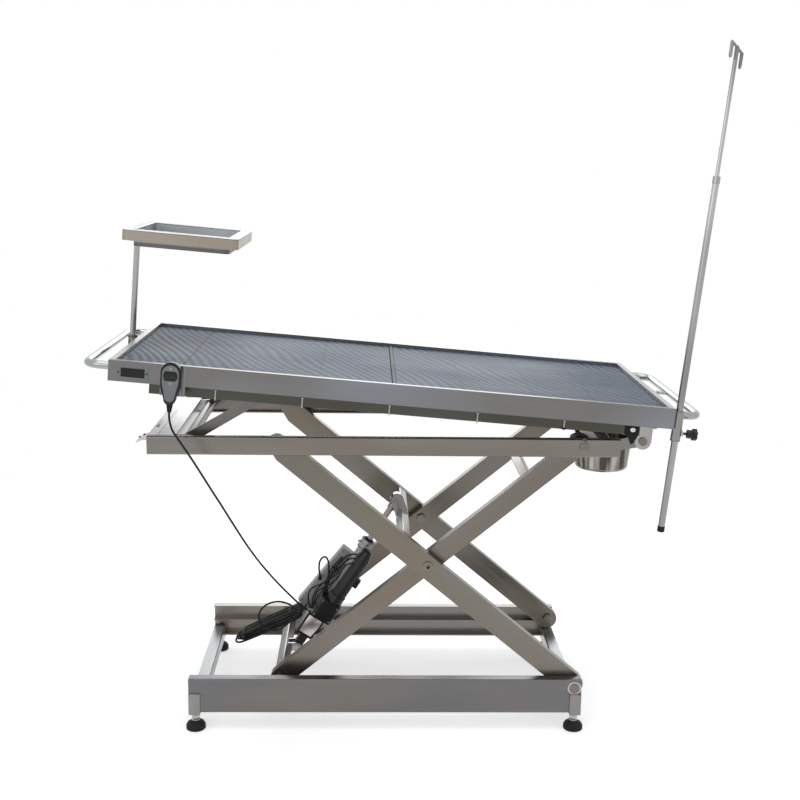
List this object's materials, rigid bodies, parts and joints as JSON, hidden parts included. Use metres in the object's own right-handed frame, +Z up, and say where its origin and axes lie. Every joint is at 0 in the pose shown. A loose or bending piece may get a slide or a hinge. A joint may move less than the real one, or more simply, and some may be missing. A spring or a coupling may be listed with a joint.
{
  "type": "tilting operating table on a scissor lift",
  "caption": "Stainless operating table on an electric scissor lift, with a tilting mat-covered top, drip stand, instrument tray, handset and drain bucket",
  "frame": {"origin": "on the floor under the middle of the whole table's length and width", "axes": "+X along the table towards the drain end, +Y towards the rear side, +Z up"},
  "size_m": [1.4821, 0.6486, 1.6481],
  "materials": {
    "stainless": "brushed stainless steel",
    "polished": "polished stainless steel",
    "rubber": "black rubber",
    "black_plastic": "satin black plastic",
    "roller_plastic": "white nylon",
    "grey_plastic": "satin grey plastic",
    "mat": "blue-grey ribbed rubber",
    "display": "dark glossy window",
    "aluminium": "satin aluminium"
  },
  "bodies": {
    "base": {"base_rail_front": "stainless", "base_rail_rear": "stainless", "base_cross_members": "stainless", "corner_brackets": "stainless", "base_pivot_bolts": "polished"},
    "foot_fl": {"foot_front_left": "rubber"},
    "foot_fr": {"foot_front_right": "rubber"},
    "foot_rl": {"foot_rear_left": "rubber"},
    "foot_rr": {"foot_rear_right": "rubber"},
    "outer_arms": {"outer_arm_front": "stainless", "outer_arm_rear": "stainless", "outer_cross_tube": "stainless", "centre_pivot_bolts": "polished"},
    "rollers_up": {"upper_rollers": "roller_plastic"},
    "rollers_low": {"lower_rollers": "roller_plastic"},
    "inner_arms": {"inner_arm_front": "stainless", "inner_arm_rear": "stainless", "inner_cross_upper": "stainless", "inner_cross_lower": "stainless"},
    "upper_frame": {"upper_rail_front": "stainless", "upper_rail_rear": "stainless", "upper_cross_left": "stainless", "upper_cross_right": "stainless", "frame_pins": "polished", "bucket_runners": "stainless"},
    "bucket": {"bucket": "stainless"},
    "prop": {"tilt_prop": "stainless"},
    "tabletop": {"top_rail_front": "stainless", "top_rail_rear": "stainless", "top_end_left": "stainless", "top_end_right": "stainless", "top_pan": "stainless", "subframe_channels": "stainless", "hinge_cross": "stainless", "prop_track": "roller_plastic", "mat_halves": "mat", "centre_divider": "stainless", "display_window": "display", "handle_left": "polished", "handle_right": "polished", "iv_holder": "stainless", "tray_socket": "stainless", "handset_holder": "stainless", "handset_cord_upper": "rubber"},
    "knob": {"iv_knob": "black_plastic"},
    "stand": {"iv_tube": "polished"},
    "stand_rod": {"iv_rod": "polished"},
    "post": {"tray_post": "stainless"},
    "tray": {"tray_frame": "stainless"},
    "dish": {"tray_dish": "stainless"},
    "handset": {"handset_shell": "black_plastic"},
    "rocker": {"handset_rocker": "black_plastic"},
    "actuator": {"actuator_gearbox": "black_plastic", "actuator_tube": "aluminium", "actuator_motor": "black_plastic", "control_box": "grey_plastic", "cable_hank": "rubber", "actuator_lead": "rubber", "handset_cord_lower": "rubber"},
    "rod": {"actuator_rod": "polished"}
  },
  "joints": [
    {"name": "lift", "type": "hinge", "parent": "base", "child": "outer_arms", "pos_m": [0.43384, 0.0135, 0.113], "axis": [0, 1, 0], "range_deg": [-16.7, 0], "deforming": ["handset_cord_lower"]},
    {"name": "scissor", "type": "hinge", "parent": "outer_arms", "child": "inner_arms", "pos_m": [0.06838, 0.0135, 0.41641], "axis": [0, 1, 0], "range_deg": [0, 33.4]},
    {"name": "top_pivot", "type": "hinge", "parent": "inner_arms", "child": "upper_frame", "pos_m": [0.43384, 0.0135, 0.71983], "axis": [0, 1, 0], "range_deg": [-16.7, 0]},
    {"name": "actuator_swing", "type": "hinge", "parent": "inner_arms", "child": "actuator", "pos_m": [-0.26367, 0.0135, 0.118], "axis": [0, 1, 0], "range_deg": [-1.7, 0]},
    {"name": "actuator_stroke", "type": "slide", "parent": "actuator", "child": "rod", "axis": [0.5422, 0, 0.8402], "range_m": [-0.0735, 0]},
    {"name": "upper_roller_spin", "type": "hinge", "parent": "outer_arms", "child": "rollers_up", "pos_m": [-0.29709, 0.0135, 0.71983], "axis": [0, 1, 0], "continuous": true},
    {"name": "lower_roller_spin", "type": "hinge", "parent": "inner_arms", "child": "rollers_low", "pos_m": [-0.29709, 0.0135, 0.113], "axis": [0, 1, 0], "continuous": true},
    {"name": "tilt", "type": "hinge", "parent": "upper_frame", "child": "tabletop", "pos_m": [0.57434, 0.0135, 0.73483], "axis": [0, 1, 0], "range_deg": [-4.6, 5.4], "deforming": ["handset_cord_upper"]},
    {"name": "prop_swing", "type": "hinge", "parent": "upper_frame", "child": "prop", "pos_m": [-0.50966, 0.0135, 0.72583], "axis": [0, 1, 0], "range_deg": [-21.2, 18.1]},
    {"name": "bucket_slide", "type": "slide", "parent": "upper_frame", "child": "bucket", "axis": [1, 0, 0], "range_m": [0, 0.17]},
    {"name": "knob_turn", "type": "hinge", "parent": "tabletop", "child": "knob", "pos_m": [0.63594, -0.2815, 0.77101], "axis": [0.9956, 0, -0.0941], "continuous": true},
    {"name": "stand_height", "type": "slide", "parent": "tabletop", "child": "stand", "axis": [0.0941, 0, 0.9956], "range_m": [-0.25, 0.3]},
    {"name": "stand_rod_height", "type": "slide", "parent": "stand", "child": "stand_rod", "axis": [0.0941, 0, 0.9956], "range_m": [-0.14, 0.3]},
    {"name": "tray_height", "type": "slide", "parent": "tabletop", "child": "post", "axis": [0.0802, 0, 0.9968], "range_m": [0, 0.12]},
    {"name": "tray_swivel", "type": "hinge", "parent": "post", "child": "tray", "pos_m": [-0.66449, 0.0735, 1.18563], "axis": [0.0802, 0, 0.9968], "range_deg": [-60, 150]},
    {"name": "dish_lift", "type": "slide", "parent": "tray", "child": "dish", "axis": [0.0802, 0, 0.9968], "range_m": [0, 0.06]},
    {"name": "handset_lift", "type": "slide", "parent": "tabletop", "child": "handset", "axis": [0.0802, 0, 0.9968], "range_m": [0, 0.012]},
    {"name": "rocker_press", "type": "hinge", "parent": "handset", "child": "rocker", "pos_m": [-0.52375, -0.3195, 0.90243], "axis": [0.9968, 0, -0.0802], "range_deg": [-5, 5], "stiffness_Nm_per_rad": 0.3},
    {"name": "level_fl", "type": "slide", "parent": "base", "child": "foot_fl", "axis": [0, 0, -1], "range_m": [0, 0.02]},
    {"name": "level_fr", "type": "slide", "parent": "base", "child": "foot_fr", "axis": [0, 0, -1], "range_m": [0, 0.02]},
    {"name": "level_rl", "type": "slide", "parent": "base", "child": "foot_rl", "axis": [0, 0, -1], "range_m": [0, 0.02]},
    {"name": "level_rr", "type": "slide", "parent": "base", "child": "foot_rr", "axis": [0, 0, -1], "range_m": [0, 0.02]}
  ],
  "couplings": [
    {"joint": "scissor", "follows": "lift", "ratio": -2},
    {"joint": "top_pivot", "follows": "lift", "ratio": 1},
    {"joint": "actuator_swing", "follows": "lift", "ratio": 0.09},
    {"joint": "actuator_stroke", "follows": "lift", "m_per_rad": 0.2487},
    {"joint": "prop_swing", "follows": "tilt", "ratio": -3.9}
  ]
}
